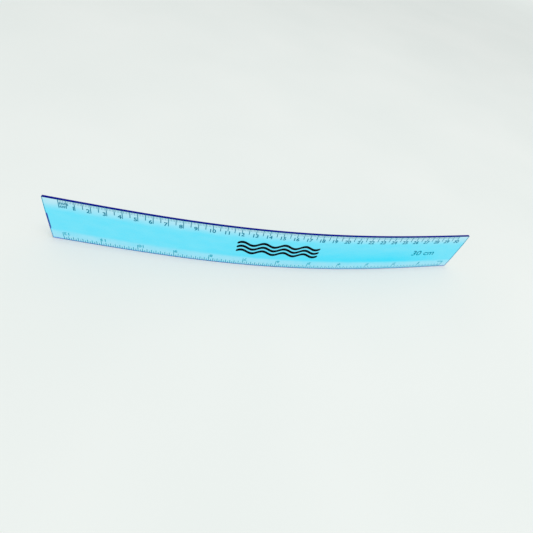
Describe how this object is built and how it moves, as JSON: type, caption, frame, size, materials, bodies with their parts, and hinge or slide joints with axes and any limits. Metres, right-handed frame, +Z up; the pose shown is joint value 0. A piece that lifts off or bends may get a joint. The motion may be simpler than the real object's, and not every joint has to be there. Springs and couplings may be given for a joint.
{
  "type": "flexible ruler",
  "caption": "Flexible blue plastic ruler with centimetre and inch scales on its bevelled edges, standing on edge in a gentle bend.",
  "frame": {"origin": "under the middle of the bent blade's footprint, on the surface that its lower long edge stands on", "axes": "+X along the blade from the centimetre zero to its end, +Y from the printed front to the back, +Z up from the inch edge"},
  "size_m": [0.3186, 0.0164, 0.0375],
  "materials": {
    "blue_plastic": "clear blue tint, polished",
    "scale_ink": "thin printed ink",
    "bold_ink": "dense printed ink"
  },
  "bodies": {
    "middle": {"blade_centre": "blue_plastic"},
    "right_1": {"blade_right_1": "blue_plastic"},
    "right_2": {"blade_right_2": "blue_plastic"},
    "right_3": {"blade_right_3": "blue_plastic"},
    "right_4": {"blade_right_4": "blue_plastic"},
    "right_5": {"blade_right_5": "blue_plastic"},
    "right_6": {"blade_right_6": "blue_plastic"},
    "left_1": {"blade_left_1": "blue_plastic"},
    "left_2": {"blade_left_2": "blue_plastic"},
    "left_3": {"blade_left_3": "blue_plastic"},
    "left_4": {"blade_left_4": "blue_plastic"},
    "left_5": {"blade_left_5": "blue_plastic"},
    "left_6": {"blade_left_6": "blue_plastic"}
  },
  "joints": [
    {"name": "flex_right_1", "type": "hinge", "parent": "middle", "child": "right_1", "pos_m": [0.01249, -0.0072, 0.01875], "axis": [0, 0, 1], "range_deg": [-23.1, 19.3], "stiffness_Nm_per_rad": 0.035},
    {"name": "flex_right_2", "type": "hinge", "parent": "right_1", "child": "right_2", "pos_m": [0.03748, -0.00636, 0.01875], "axis": [0, 0, 1], "range_deg": [-21.79, 18.22]},
    {"name": "flex_right_3", "type": "hinge", "parent": "right_2", "child": "right_3", "pos_m": [0.06143, -0.00479, 0.01875], "axis": [0, 0, 1], "range_deg": [-18.83, 15.74]},
    {"name": "flex_right_4", "type": "hinge", "parent": "right_3", "child": "right_4", "pos_m": [0.08532, -0.00257, 0.01875], "axis": [0, 0, 1], "range_deg": [-15.56, 13.01]},
    {"name": "flex_right_5", "type": "hinge", "parent": "right_4", "child": "right_5", "pos_m": [0.11016, 0.0003, 0.01875], "axis": [0, 0, 1], "range_deg": [-10.97, 9.18]},
    {"name": "flex_right_6", "type": "hinge", "parent": "right_5", "child": "right_6", "pos_m": [0.13395, 0.00344, 0.01875], "axis": [0, 0, 1], "range_deg": [-5.79, 4.85]},
    {"name": "flex_left_1", "type": "hinge", "parent": "middle", "child": "left_1", "pos_m": [-0.01151, -0.0072, 0.01875], "axis": [0, 0, -1], "range_deg": [-22.7, 18.9], "stiffness_Nm_per_rad": 0.035},
    {"name": "flex_left_2", "type": "hinge", "parent": "left_1", "child": "left_2", "pos_m": [-0.0355, -0.00641, 0.01875], "axis": [0, 0, -1], "range_deg": [-22.8, 18.99]},
    {"name": "flex_left_3", "type": "hinge", "parent": "left_2", "child": "left_3", "pos_m": [-0.06244, -0.00463, 0.01875], "axis": [0, 0, -1], "range_deg": [-20.35, 16.95]},
    {"name": "flex_left_4", "type": "hinge", "parent": "left_3", "child": "left_4", "pos_m": [-0.08732, -0.00224, 0.01875], "axis": [0, 0, -1], "range_deg": [-15.32, 12.77]},
    {"name": "flex_left_5", "type": "hinge", "parent": "left_4", "child": "left_5", "pos_m": [-0.11116, 0.00058, 0.01875], "axis": [0, 0, -1], "range_deg": [-10.52, 8.77]},
    {"name": "flex_left_6", "type": "hinge", "parent": "left_5", "child": "left_6", "pos_m": [-0.13494, 0.00377, 0.01875], "axis": [0, 0, -1], "range_deg": [-5.52, 4.6]}
  ],
  "couplings": [
    {"joint": "flex_right_2", "follows": "flex_right_1", "ratio": 0.9412},
    {"joint": "flex_right_3", "follows": "flex_right_1", "ratio": 0.8128},
    {"joint": "flex_right_4", "follows": "flex_right_1", "ratio": 0.6713},
    {"joint": "flex_right_5", "follows": "flex_right_1", "ratio": 0.4729},
    {"joint": "flex_right_6", "follows": "flex_right_1", "ratio": 0.2486},
    {"joint": "flex_left_2", "follows": "flex_left_1", "ratio": 1.002},
    {"joint": "flex_left_3", "follows": "flex_left_1", "ratio": 0.8941},
    {"joint": "flex_left_4", "follows": "flex_left_1", "ratio": 0.6729},
    {"joint": "flex_left_5", "follows": "flex_left_1", "ratio": 0.4613},
    {"joint": "flex_left_6", "follows": "flex_left_1", "ratio": 0.241}
  ]
}
